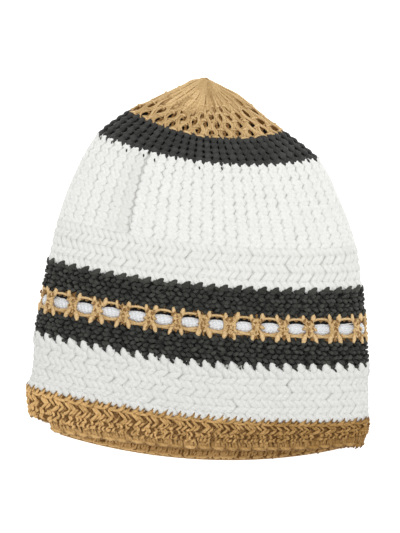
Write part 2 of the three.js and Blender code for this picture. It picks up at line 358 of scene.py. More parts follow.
def addGrid(piece, vertices, faces, maps, tone, paintedShade):
    # vertices in mm; faces: rows of vertex numbers, all of one length; maps: a place for each corner
    vertices = vertices.reshape(-1, 3)
    piece["vertices"].append(vertices / 1000)
    piece["faces"].append(faces + piece["count"])
    piece["maps"].append(maps.reshape(-1, 2))
    piece["tones"].append(tone.reshape(-1))
    piece["paintedShade"].append(paintedShade.reshape(-1))
    piece["count"] += vertices.shape[0]


def addTubesAlong(piece, middle, outward, radius, sides, flat, closed, paintedShade, paintedLight=0):
    # each strand becomes a tube; middle, outward: n strands by p points by xyz; radius: n by p
    n, p = radius.shape
    if closed:
        along = unit(np.roll(middle, -1, axis=1) - np.roll(middle, 1, axis=1))
    else:
        along = unit(np.gradient(middle, axis=1))
    sideways = unit(np.cross(along, outward))
    upwards = np.cross(sideways, along)
    angle = np.arange(sides) / sides * 2 * math.pi
    spread = radius[..., None, None]
    ringPoints = (middle[:, :, None, :]
                  + spread * np.cos(angle)[:, None] * sideways[:, :, None, :]
                  + spread * np.sin(angle)[:, None] * flat * upwards[:, :, None, :])
    ringPoints[..., 2] = np.maximum(ringPoints[..., 2], 0)
    number = np.arange(n * p * sides).reshape(n, p, sides)
    here = number if closed else number[:, :-1]
    beyond = np.roll(number, -1, axis=1) if closed else number[:, 1:]
    quads = np.stack([here, np.roll(here, -1, axis=2), np.roll(beyond, -1, axis=2), beyond], axis=-1)
    steps = np.linalg.norm(np.diff(middle, axis=1), axis=-1)
    length = np.concatenate([np.zeros((n, 1)), np.cumsum(steps, axis=1)], axis=1)
    if closed:
        length = np.concatenate([length, length[:, -1:] + steps[:, :1]], axis=1)
    length = length[..., None] + rng.random((n, 1, 1)) * 5
    around, near = np.broadcast_arrays(np.arange(sides) / sides, length[:, :-1])
    beside, far = np.broadcast_arrays(around + 1 / sides, length[:, 1:])
    maps = np.stack([around, near, beside, near, beside, far, around, far], axis=-1)
    tone = np.repeat(np.minimum(rng.random(n) + paintedLight, 1), p * sides)
    ends = np.concatenate([number[:, 0, ::-1], number[:, -1]]) + piece["count"]
    addGrid(piece, ringPoints, quads.reshape(-1, 4), maps, tone, np.broadcast_to(paintedShade, (n, p, sides)))
    if not closed:
        piece["faces"].append(ends)
        piece["maps"].append(np.zeros((ends.size, 2)))


def addTubes(piece, roundAt, down, top, radius, sides=6, flat=0.85,
             closed=False, inside=False, shade=0):
    # top: how high the strand's upper side is above the cap's outside, in mm, or above its inner face
    # shade: painted shade added to what its height gives, a number or one a strand; below 0, painted light
    roundAt, down, top, radius = np.broadcast_arrays(roundAt, down, top, radius)
    sunk = flat * radius
    height = sunk - top - capShape["wall"] if inside else top - sunk
    middle, outward = capPoints(roundAt, down, height, clearance=sunk)
    angle = np.arange(sides) / sides * 2 * math.pi
    skinHeight = height[..., None] + sunk[..., None] * np.sin(angle)
    if inside:
        skinHeight = -capShape["wall"] - skinHeight
    shade = np.reshape(shade, (-1, 1, 1))
    highest, deepest = 0.2, -2.6  # mm: no painted shade above the first, the most below the second
    paintedShade = np.clip((highest - skinHeight) / (highest - deepest) + shade, 0, 1)
    paintedLight = np.maximum(-2 * shade[:, 0, 0], 0)
    addTubesAlong(piece, middle, outward, radius, sides, flat, closed, paintedShade, paintedLight)


def addStrands(piece, controls, points, stitchAt, down, sides=6, jitter=0.04, flat=0.85,
               inside=False, fullness=(1, 1), shade=0, stretch=(1, 1, 1, 1), raised=0):
    # one copy of a strand at each place, a little different in its place and thickness
    # controls: rows of stitches across, mm down, mm high and thickness in stitches, times stretch
    # fullness: how thick the copies are at the left fold and at the right fold
    rows = np.array(controls, dtype=float) * stretch
    rows[:, 2] += raised
    motif = smoothPath(rows, points)
    wobble = rng.normal(0, 1, (len(stitchAt), 4)) * jitter
    roundAt = (stitchAt[:, None] + motif[:, 0] + wobble[:, :1]) * perStitch
    downs = np.reshape(down, (-1, 1)) + motif[:, 1] + wobble[:, 1:2] * 3
    tops = motif[:, 2] + wobble[:, 2:3] * 2
    toRight = 1 - np.abs(roundAt % 1 * 2 - 1)
    full = fullness[0] + (fullness[1] - fullness[0]) * toRight
    radius = motif[:, 3] * stitchWidth(downs) * (1 + wobble[:, 3:]) * full
    addTubes(piece, roundAt, downs, tops, radius, sides, flat, inside=inside, shade=shade)


def addShell(piece, downFrom, downTo, outer=capShape["shellDepth"], inner=capShape["wall"],
             around=216, rows=None, relief=0.5):
    # the fabric behind the strands: a closed strip between two depths, its inner face in low stitches
    mapAround, mapDown = 0.35, 1.3
    rows = rows or max(2, int((downTo - downFrom) / 2))
    roundAt = (np.arange(around) / around)[None, :]
    down = np.linspace(downFrom, downTo, rows + 1)[:, None]
    roundAt, down = np.broadcast_arrays(roundAt, down)
    stitches = np.sin(roundAt * stitchCount * 2 * math.pi + np.cos(down * 1.1) * 1.2)
    innerDepth = inner - relief * (0.5 + 0.5 * stitches * np.sin(down * 1.7))
    outerPoints, _ = capPoints(roundAt, down, np.full(down.shape, -float(outer)), clearance=outer * 0.5)
    innerPoints, _ = capPoints(roundAt, down, -innerDepth)
    loop = np.concatenate([outerPoints, innerPoints[::-1]])
    total = loop.shape[0]
    number = np.arange(total * around).reshape(total, around)
    below = np.roll(number, -1, axis=0)
    faces = np.stack([number, below, np.roll(below, -1, axis=1), np.roll(number, -1, axis=1)], axis=-1)
    left, upper = np.broadcast_arrays(np.arange(around) * mapAround, np.arange(total)[:, None] * mapDown)
    right, lower = left + mapAround, upper + mapDown
    maps = np.stack([left, upper, left, lower, right, lower, right, upper], axis=-1)
    # painted shade: much on the outer face behind the strands, less on the inner face, most in its low
    # places
    depth = np.concatenate([np.full(down.shape, 0.9), 0.25 + 0.5 * (innerDepth[::-1] - inner + relief)])
    addGrid(piece, loop, faces.reshape(-1, 4), maps, np.full(total * around, 0.3), depth)


def finishPiece(piece, name, yarn, node):
    vertices = np.concatenate(piece["vertices"])
    mesh = bpy.data.meshes.new(name)
    mesh.vertices.add(len(vertices))
    mesh.vertices.foreach_set("co", vertices.ravel())
    sizes = np.concatenate([np.full(len(faces), faces.shape[1]) for faces in piece["faces"]])
    corners = np.concatenate([faces.ravel() for faces in piece["faces"]])
    mesh.loops.add(len(corners))
    mesh.loops.foreach_set("vertex_index", corners.astype(np.int32))
    firstCorners = np.concatenate([[0], np.cumsum(sizes)[:-1]])
    mesh.polygons.add(len(sizes))
    mesh.polygons.foreach_set("loop_start", firstCorners.astype(np.int32))
    mesh.polygons.foreach_set("use_smooth", np.ones(len(sizes), dtype=bool))
    mesh.update(calc_edges=True)
    layer = mesh.uv_layers.new(name="strandMap")
    layer.data.foreach_set("uv", np.concatenate(piece["maps"]).ravel().astype(np.float32))
    for title, values in (("strandTone", piece["tones"]), ("paintedShade", piece["paintedShade"])):
        points = mesh.attributes.new(title, "FLOAT", "POINT")
        points.data.foreach_set("value", np.concatenate(values).astype(np.float32))
    mesh.validate()
    shape = bpy.data.objects.new(name, mesh)
    bpy.context.collection.objects.link(shape)
    mesh.materials.append(yarns[yarn])
    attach(shape, "root")
    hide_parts(node)
    triangles = int((sizes - 2).sum())
    print(name, "made,", triangles, "triangles")


def newBand(startName, endName, depth=capShape["shellDepth"], rows=None):
    # a new piece between two rings, with the fabric behind its strands
    piece = newPiece()
    start, end = downAt[startName], downAt[endName]
    addShell(piece, start + capShape["gap"], end - capShape["gap"], depth, rows=rows)
    return piece, start, end


allStitches = np.arange(stitchCount)
wholeRound = (np.arange(216) / 216)[None, :]  # places of a strand that runs all the way around
# mm by which the lower white starts later in the middle of the top layer
lowerSag = hill(allStitches * perStitch, capShape["lowerSag"])

# a zigzag of tall stitches; each piece changes what is different in its own
tallStitches = {
    "strandsAt": ((0.25, 0.74), (0.28, 0.71)),  # in the even legs, and in the odd ones
    "lean": 0.5, "thick": 0.262, "ends": 0.75, "sides": 6, "points": 6, "high": 0.3, "low": -1,
    "jitter": 0.04, "over": 0.22, "flat": 0.72, "phase": 0, "shade": 0}


def zigzagRows(piece, start, legs, look):
    # columns of leaning legs, each a set of side by side strands; the lean changes from leg to leg
    tall = look["tall"]
    over = look["over"]
    thick = look["thick"]
    shoulder = look["high"] * 0.6 + look["low"] * 0.1
    for i in range(legs):
        reach = (1, -1)[i % 2] * look["lean"] * (0.5 + over)
        leg = [(-reach, -tall * over, look["low"], thick * look["ends"]),
               (-reach * 0.5, tall * 0.2, shoulder, thick),
               (0, tall * 0.5, look["high"], thick),
               (reach * 0.5, tall * 0.8, shoulder, thick),
               (reach, tall * (1 + over), look["low"], thick * look["ends"])]
        for shift in look["strandsAt"][i % 2]:
            addStrands(piece, leg, look["points"], allStitches + shift + look["phase"], start + i * tall,
                       look["sides"], look["jitter"], look["flat"], shade=look["shade"])


def innerRows(piece, start, end, rows):
    # short upright stitches on the inner face
    tall = (end - start) / rows
    upright = [(-0.1, -0.15, -0.9, 0.168), (0, 0.5, 0.5, 0.24), (0.1, 1.15, -0.9, 0.168)]
    for i in range(rows):
        for shift in (0, 0.5):
            addStrands(piece, upright, 4, allStitches + shift + 0.25 * (i % 2), start + i * tall,
                       sides=5, jitter=0.05, inside=True, stretch=(1, tall, 1, 1))


def dentAt(roundAt, share):
    # how deep the peak is dented on its top layer, beside the tip
    look = {"across": (1.5, 0.29, 0.09), "along": (1, 0.35, 0.3)}
    return hill(roundAt, look["across"]) * hill(share, look["along"])


def crownGather():
    look = {
        "strands": 90, "points": 12, "radius": 1, "thinnest": 0.35, "thickest": 1.3,
        "shellDepth": 1.3, "shellGap": 0.3, "swing": 0.006, "lift": 0.55, "endFall": 1.4,
        # how far the strands reach over the net, in mm, at these places around
        "reachAt": (0, 0.16, 0.24, 0.33, 0.39, 0.5, 0.6, 0.9, 1),
        "reach": (9, 7.5, 1.5, 1, 4, 5, 1, 1, 9),
        "pleats": ((17, 1, 0), (29, 0.8, 1.3)),  # number around, height, phase
        # hills: a shoulder at the left fold, and a painted highlight beside it
        "shoulderAcross": (1.8, 0, 0.07), "shoulderDown": (1, 6.5, 4.5), "paintedHighlight": (0.4, 0.09, 0.07)}
    piece = newPiece()
    end = downAt["gatherEnd"]
    addShell(piece, look["shellGap"], end - look["shellGap"], look["shellDepth"], capShape["netWall"],
             around=144, relief=0.2)
    count = look["strands"]
    share = np.linspace(0, 1, look["points"])[None, :]
    place = (np.arange(count) / count)[:, None]
    reach = np.interp(place, look["reachAt"], look["reach"])
    last = end + reach + np.abs(rng.normal(0, 1.2, (count, 1)))
    down = 0.2 + share * (last - 0.2)
    swing = rng.normal(0, look["swing"], (count, 1)) * np.sin(share * math.pi)
    pleats = sum(high * np.sin(place * number * 2 * math.pi + phase)
                 for number, high, phase in look["pleats"])
    lift = look["lift"] * pleats + rng.normal(0, 0.25, (count, 1))
    fromLeft = np.minimum(place, 1 - place)
    shoulder = hill(fromLeft, look["shoulderAcross"]) * hill(down, look["shoulderDown"])
    top = (-0.1 + lift * (0.1 + 1.2 * share**1.5) - dentAt(place, down / end)
           - look["endFall"] * share**5 + shoulder)
    perimeter = stitchWidth(down) * stitchCount
    radius = np.clip(look["radius"] * perimeter / count, look["thinnest"], look["thickest"])
    radius = radius * (1 + rng.normal(0, 0.08, (count, 1)))
    # a painted highlight on the peak's upper left, near the left fold
    addTubes(piece, place + swing, down, top, radius, flat=0.8, shade=-hill(place, look["paintedHighlight"]))
    closeTip(piece)
    finishPiece(piece, "crownGather", "crownTan", "crown_gather")


def closeTip(piece):
    # strands that pass over the drawn-in tip from one layer to the other
    look = {
        "strands": 26, "points": 13, "firstAt": 0.03, "lastAt": 0.47, "reach": 8, "radius": 0.7,
        "lift": 0.35, "fall": 0.9, "blunt": (1.2, 0.09, 0.1)}
    share = np.linspace(-1, 1, look["points"])[None, :]
    place = np.linspace(look["firstAt"], look["lastAt"], look["strands"])[:, None]
    places, shares = np.broadcast_arrays(place, share)
    down = np.abs(shares) * look["reach"]
    overPlaces, overOut = capPoints(places, down, 0 * down)
    belowPlaces, belowOut = capPoints(1 - places, down, 0 * down)
    weight = (np.clip(shares * 2.5, -1, 1) * 0.5 + 0.5)[..., None]
    outward = unit(overOut * (1 - weight) + belowOut * weight + (0, 0.8, 0))
    dip = dentAt(np.where(shares < 0, places, 1 - places), down / downAt["gatherEnd"])
    blunt = hill(place, look["blunt"]) * (1 - share**2)
    height = look["lift"] - look["radius"] - look["fall"] * share**4 - dip + blunt
    height = height + rng.normal(0, 0.1, place.shape)
    middle = overPlaces * (1 - weight) + belowPlaces * weight + outward * height[..., None]
    radius = look["radius"] * (0.7 + 0.3 * np.abs(shares))
    # painted shade in the dent beside the tip
    addTubesAlong(piece, middle, outward, radius, sides=6, flat=0.9, closed=False,
                  paintedShade=(0.05 + dip / 3.2)[..., None])


def crownNet():
    look = {
        "holes": 24, "rounds": 4, "points": 30, "radius": 0.205, "swing": 0.138, "underSwing": 0.4,
        "apart": 0.17, "underApart": 0.28, "twist": 0.35,
        "leftThick": 0.94, "moreAtRight": 0.18, "underThick": 1.35,
        # strands over the top of each hole, and lower ones that close the places between:
        # mm down, length in holes, mm high, radius in mm
        "bars": ((0.4, 0.6, 0.8, 0.75), (-0.5, 0.7, -0.6, 0.85), (1.2, 0.6, -1, 0.7)),
        "backHigh": -2.7, "backThick": 0.9, "backShade": 0.75}
    piece = newPiece()
    start = downAt["gatherEnd"]
    tall = (downAt["netEnd"] - start) / look["rounds"]
    holes = look["holes"]
    pitch = stitchCount / holes
    count = holes * 2
    share = np.linspace(0, 1, look["points"])[None, :]
    lane = np.arange(count)[:, None]
    # the lanes run over all the rounds, two for each hole, and swing to and fro
    middle = (lane / 2 + 0.625) * pitch + rng.normal(0, 0.04, (count, 1))
    rounds = -0.3 + share * (look["rounds"] + 0.6)
    towards = np.where(lane % 2, 1, -1)
    down = start + rounds * tall
    # on the under layer the strands lie closer
    onTop = middle / stitchCount % 1 < 0.5
    swing = (look["swing"] * pitch * towards * np.sin(rounds * math.pi)
             * np.where(onTop, 1, look["underSwing"]))
    toRight = middle / stitchCount * 2 % 1
    fullness = np.where(onTop, look["leftThick"] + look["moreAtRight"] * toRight, look["underThick"])
    fullness = (fullness + rng.normal(0, 0.06, (count, 1))) * stitchWidth(down)
    wave = rng.normal(0, 0.07, (count, 1)) * np.sin(share * 9 + rng.random((count, 1)) * 6)
    for side in (-1, 1):
        turn = share * 11 + rng.random((count, 1)) * 6
        apart = side * np.where(onTop, look["apart"], look["underApart"])
        across = middle + swing + wave + apart + 0.05 * np.sin(turn * 2)
        top = -0.2 + side * look["twist"] * np.sin(turn) - 1.2 * (2 * share - 1)**8
        addTubes(piece, across * perStitch, down, top, look["radius"] * fullness)

    def holesOf(number, shift):
        return (np.arange(holes) + (0 if number % 2 else 0.5) + shift)[:, None] * pitch

    short = np.linspace(0, 1, 7)[None, :]
    arch = np.sin(short * math.pi)
    for k in range(look["rounds"] + 1):
        for shift, reach, high, thick in look["bars"]:
            lean = rng.normal(0, 0.3, (holes, 1))
            across = holesOf(k, 0.125) + (short - 0.5) * pitch * reach + rng.normal(0, 0.05, (holes, 1))
            barDown = start + k * tall + shift + lean * (short - 0.5) * 2 - 0.4 * arch
            barDown = barDown + rng.normal(0, 0.25, (holes, 1))
            addTubes(piece, across * perStitch, barDown, high - 1.4 * (1 - arch), thick * (0.8 + 0.2 * arch))
    # strands of the net's back, seen through the holes, darkened with painted shade
    slant = np.linspace(-1, 1, 5)[None, :]
    for k in range(look["rounds"]):
        across = holesOf(k, 0.375) + 0.35 * slant * rng.choice([-1, 1], (holes, 1))
        behind = start + tall * (k + 0.5 + 0.62 * slant) + rng.normal(0, 0.3, (holes, 1))
        addTubes(piece, across * perStitch, behind, look["backHigh"], look["backThick"],
                 shade=look["backShade"])
    finishPiece(piece, "crownNet", "crownTan", "crown_net")


def crownBand():
    look = {
        "rows": 5,
        "dot": [(-0.06, -0.55, -0.9, 0.3), (-0.02, 0, 0.3, 0.39), (0.03, 0.35, 0.5, 0.4),
                (0.06, 0.75, -0.9, 0.3)],
        "bridge": [(-0.4, 0.5, -1.6, 0.12), (0, 0, 0, 0.17), (0.4, -0.5, -1.6, 0.12)],
        "point": [(-0.1, -2.2, -1, 0.2), (0, 0, 0.6, 0.22), (0.04, 1.5, 0, 0.08)],
        "speck": [(-0.05, -0.8, 0.2, 0.06), (0, 0, 1, 0.09), (0.05, 0.9, 0.2, 0.06)],
        # stitches from the left fold, and mm below the band
        "specksAt": [(1.4, 1.5), (2.82, 1.4), (4.65, 3.3), (6.55, 3.6), (7.9, 4.4), (12.65, 4.3),
                     (15, 3.2)]}
    piece, start, end = newBand("netEnd", "crownBandEnd")
    tall = (end - start) / look["rows"]
    for i in range(look["rows"]):
        addStrands(piece, look["dot"], 6, allStitches + 0.5, start + (i + 0.4) * tall, sides=10,
                   jitter=0.025, flat=0.5, stretch=(1, tall, 1, 1))
        # a strand from column to column, halfway between two dots
        addStrands(piece, look["bridge"], 5, allStitches + 1, start + (i + 0.5) * tall,
                   stretch=(1, 1 if i % 2 else -1, 1, 1))
    # small points between the scallops of the white below
    addStrands(piece, look["point"], 5, allStitches, end)
    # ends of the dark yarn that show in the first rows of white
    specks = np.array(look["specksAt"])
    addStrands(piece, look["speck"], 5, specks[:, 0], end + specks[:, 1])
    finishPiece(piece, "crownBand", "charcoal", "crown_band")


def bodyBand():
    look = {
        "shortRows": 20, "shortTall": 2.75, "tallLegs": 5, "shellDepth": 2.2, "shellRows": 36,
        "seamAt": 7, "seamOpen": 0.17, "seamShade": (0.9, -1, 1.3),
        "leaf": [(0.74, -0.9, 0, 0.07), (0.62, 0, 0.6, 0.2), (0.46, 1.4, 0.5, 0.3),
                 (0.36, 3.4, -1.2, 0.22)],
        "low": [(0, 0.6, -0.4, 0.08), (0.2, 0.9, 0.4, 0.2), (0.44, 1.3, 0.2, 0.24), (0.6, 2, -0.8, 0.16)]}
    piece, start, end = newBand("crownBandEnd", "bodyEnd", look["shellDepth"], look["shellRows"])
    # the short rows' seam is a wider gap between two columns; painted shade darkens the columns left of it
    past = allStitches - look["seamAt"]
    nudge = look["seamOpen"] * (0.35 * (past == 0) - 0.65 * (past == -1) - 0.25 * (past == -2))
    paintedSeamShade = hill(past, look["seamShade"]) * (past < 0)
    zigzagRows(piece, start, look["shortRows"], {
        **tallStitches, "tall": look["shortTall"], "lean": 0.3,
        "strandsAt": ((0.32, 0.68), (0.32, 0.68)), "thick": 0.295, "points": 5, "high": 0.2, "low": -0.25,
        "jitter": 0.03, "over": 0.34, "flat": 0.65, "phase": nudge, "shade": paintedSeamShade})
    tallStart = start + look["shortRows"] * look["shortTall"]
    # painted shade darkens the tall rows
    zigzagRows(piece, tallStart, look["tallLegs"], {
        **tallStitches, "tall": (end - tallStart) / look["tallLegs"], "low": -1.9, "shade": 0.4})
    # round leaves that reach over the dark band above, and low strands between them
    addStrands(piece, look["leaf"], 7, allStitches, start, flat=0.75)
    addStrands(piece, look["low"], 6, allStitches, start, flat=0.75)
    finishPiece(piece, "bodyBand", "white", "body_band")


def darkStripe(name, node, startName, endName):
    look = {
        "legs": 4, "knotRows": 6, "knotsAt": (0.12, 0.62),
        "pastEnd": 1, "beforeStart": 0.7, "edgeFall": 1.2,
        "knot": [(-0.19, 0.9, -2.3, 0.08), (-0.08, 0.4, 0.6, 0.14), (0.08, -0.4, 0.8, 0.135),
                 (0.19, -1, -2.3, 0.08)],
        "tooth": [(-0.4, 3.4, -1, 0.15), (-0.2, 1.4, 0.9, 0.25), (0.05, -0.2, 1.3, 0.23),
                  (0.2, -1.5, 1, 0.13), (0.26, -2.1, 0.7, 0.06)],
        "behind": (3.6, -3.2, 1.2)}  # mm below the stripe, mm high, radius in mm
    piece, start, end = newBand(startName, endName)
    zigzagRows(piece, start, look["legs"], {
        **tallStitches, "strandsAt": ((0.2, 0.52, 0.84), (0.24, 0.5, 0.8)),
        "tall": (end - start) / look["legs"], "thick": 0.12, "jitter": 0.09, "low": -2.6, "high": -1.5,
        "over": 0.08, "sides": 5, "points": 5})
    # the loops of the stitches make rows of small knots; the last ones lie lower, under the bands beside
    knotRows = look["knotRows"]
    downs = [start + (i + 0.5) * (end - start) / knotRows for i in range(knotRows)]
    downs += [end + look["pastEnd"]]
    if node == "lower_stripe":
        downs += [end + look["pastEnd"] + lowerSag, start - look["beforeStart"]]
    for i, down in enumerate(downs):
        for shift in look["knotsAt"]:
            level = rng.normal(0, 0.3) - look["edgeFall"] * (i >= knotRows)
            addStrands(piece, look["knot"], 6, allStitches + shift + 0.25 * (i % 2), down, jitter=0.1,
                       stretch=(1 if i % 2 else -1, 1, 1, 1), raised=level)
    if node == "upper_stripe":
        # one leaning tooth a stitch reaches over the white above
        addStrands(piece, look["tooth"], 8, allStitches, start)
        # dark yarn behind the slot over each window, darkened further with painted shade
        below, high, radius = look["behind"]
        addTubes(piece, wholeRound, end + below, high, radius, closed=True, shade=0.5)
    finishPiece(piece, name, "stripeCharcoal", node)


def eyeletStripe():
    look = {
        "upperShell": 5, "lowerShell": 4,  # mm from the middle of the windows
        "toothPaintedLight": -0.35,
        "toothDown": [(0.12, -5.2, -0.2, 0.1), (0.3, -2.8, 0.7, 0.17), (0.38, -0.6, 0.9, 0.18),
                      (0.46, 1.4, 0.3, 0.1)],
        "knot": [(-0.22, 1, -0.9, 0.09), (0, 0, 0.9, 0.14), (0.24, -0.8, -0.6, 0.09)],
        "knotsAt": (0.25, 0.5, 0.73),
        "spot": [(-1, -1, -0.7, 0.6), (0, 0, 0, 1), (1, 1, -0.7, 0.6)],
        # spots of painted highlight and of painted shade for the gaps: lean, length, thickness, height,
        # shade,
        # and where they are: stitches across, share of the way down
        "paintedSpots": ((-0.12, 1.1, 0.085, 1.4, -0.1, ((0.15, 0.4), (0.04, 0.56), (0.17, 0.78))),
                  (0.06, 1, 0.08, 1.6, 1.4, ((0.05, 0.3), (0.13, 0.51), (0.05, 0.7), (0.27, 0.2),
                                             (0.03, 0.91)))),
        "under": [(-0.62, 11.2, -1, 0.08), (-0.25, 12.2, 0.1, 0.115), (0.25, 12.9, -0.2, 0.11),
                  (0.6, 13, -1.2, 0.09)],
        "overBar": [(-0.7, 3, -1.2, 0.07), (-0.38, 1.9, 0.2, 0.09), (0, 1.5, 0.4, 0.09),
                    (0.38, 1.9, 0.2, 0.09), (0.7, 3, -1.2, 0.07)]}
    piece = newPiece()
    start, end = downAt["upperStripeEnd"], downAt["eyeletEnd"]
    middle = (start + end) / 2
    tall = end - start
    addShell(piece, start + capShape["gap"], middle - look["upperShell"], rows=2)
    addShell(piece, middle + look["lowerShell"], end - capShape["gap"], rows=2)
    clusters = (np.arange(capShape["windows"]) + capShape["firstWindow"] + 0.5) * 2
    windows = clusters - 1
    for side in (1, -1):
        mirror = (side, 1, 1, 1)
        # two crossing strands, a waist strand at each edge, knots, and teeth up and down
        crossing = [(-0.3, 1.4, -1, 0.11), (-0.19, tall * 0.28, 0.3, 0.13),
                    (0.02, tall * 0.5, 0.7 + 0.3 * side, 0.14), (0.17, tall * 0.72, 0.3, 0.13),
                    (0.3, tall - 1.4, -1, 0.11)]
        addStrands(piece, crossing, 10, clusters, start, jitter=0.06, stretch=mirror)
        edge = [(0.38, 2, -0.8, 0.1), (0.25, tall * 0.34, 0.3, 0.11), (0.215, tall * 0.5, 0, 0.115),
                (0.25, tall * 0.66, 0.3, 0.12), (0.44, tall - 2.2, -0.8, 0.1)]
        addStrands(piece, edge, 9, clusters, start, jitter=0.06, stretch=mirror)
        size = 1.15 if side == 1 else 0.85
        toothUp = [(0.26, 4.4, -0.8, 0.1), (0.38, 2.6, 0.6, 0.16 * size), (0.42, 0.8, 0.9, 0.17 * size),
                   (0.44, -1.2 * size, 0.3, 0.09)]
        # painted light on the teeth up and down, for the highlights at their ends
        for tooth, down in ((toothUp, start), (look["toothDown"], end)):
            addStrands(piece, tooth, 8, clusters, down, jitter=0.08, shade=look["toothPaintedLight"],
                       stretch=mirror)
        for share in look["knotsAt"]:
            down = start + tall * share
            addStrands(piece, look["knot"], 6, clusters, down, jitter=0.1, stretch=mirror)
            addStrands(piece, look["knot"], 6, clusters + 0.16 * side, down, jitter=0.12,
                       stretch=(-0.8 * side, 1, 1, 0.9))
        for lean, long, thick, high, shade, places in look["paintedSpots"]:
            for across, share in places:
                addStrands(piece, look["spot"], 5, clusters + across * side, start + tall * share, sides=5,
                           jitter=0.1, flat=1, shade=shade, raised=high,
                           stretch=(lean * side, long, 1, thick))
        # crossed strands under each window
        addStrands(piece, look["under"], 8, windows, start, jitter=0.06, stretch=mirror)
    addStrands(piece, look["overBar"], 9, windows, start)
    innerRows(piece, middle + look["lowerShell"] - 0.2, end, 1)
    innerRows(piece, start, middle - look["upperShell"], 1)
    finishPiece(piece, "eyeletStripe", "crownTan", "eyelet_stripe")


def lacingYarn():
    look = {
        "radius": 0.85, "down": 0.1, "narrow": 0.5, "swell": 1.1, "level": -1,
        # mm down from the middle of the windows, and mm high
        "strands": ((-2.3, -2), (-1.2, -1.4), (0, -1.1), (1.1, -1.1), (2.2, -1.4), (3.2, -1.9),
                    (4.1, -2.5), (-1, -2.9), (1.6, -2.9))}
    piece = newPiece()
    middle = (downAt["upperStripeEnd"] + downAt["eyeletEnd"]) / 2
    fromWindow = wholeRound * capShape["windows"] - capShape["firstWindow"]
    swing = 0.5 + 0.5 * np.cos(fromWindow * 2 * math.pi)
    for shift, top in look["strands"]:
        # wider and higher in each window
        down = middle + look["down"] + shift * (look["narrow"] + (1 - look["narrow"]) * swing)
        high = top + look["swell"] * swing + look["level"]
        addTubes(piece, wholeRound, down, high, look["radius"], closed=True)
    finishPiece(piece, "lacingYarn", "lacing", "lacing_yarn")


def lowerBand():
    look = {
        "legs": 7, "later": 1.6, "shorter": 2.4, "innerRows": 9,
        "tooth": [(-0.34, -4.3, 0.3, 0.08), (-0.31, -3.3, 1.3, 0.17), (-0.26, -1.8, 1.7, 0.3),
                  (-0.13, 0.6, 1.3, 0.41), (0.06, 3, -0.8, 0.32)],
        "teeth": ((0, 0, 1), (0.48, 4, 0.9))}  # stitches across, mm down, size
    piece, start, end = newBand("lowerStripeEnd", "lowerBandEnd")
    zigzagRows(piece, start + look["later"] + lowerSag, look["legs"], {
        **tallStitches, "tall": (end - start - look["shorter"]) / look["legs"]})
    # one tooth a stitch reaches up over the dark stripe, and a smaller one fills the place beside its foot
    for across, later, size in look["teeth"]:
        addStrands(piece, look["tooth"], 8, allStitches + across, start + lowerSag + later,
                   stretch=(1, 1, 1, size))
    innerRows(piece, start, end, look["innerRows"])
    finishPiece(piece, "lowerBand", "shadedLowerWhite", "lower_band")


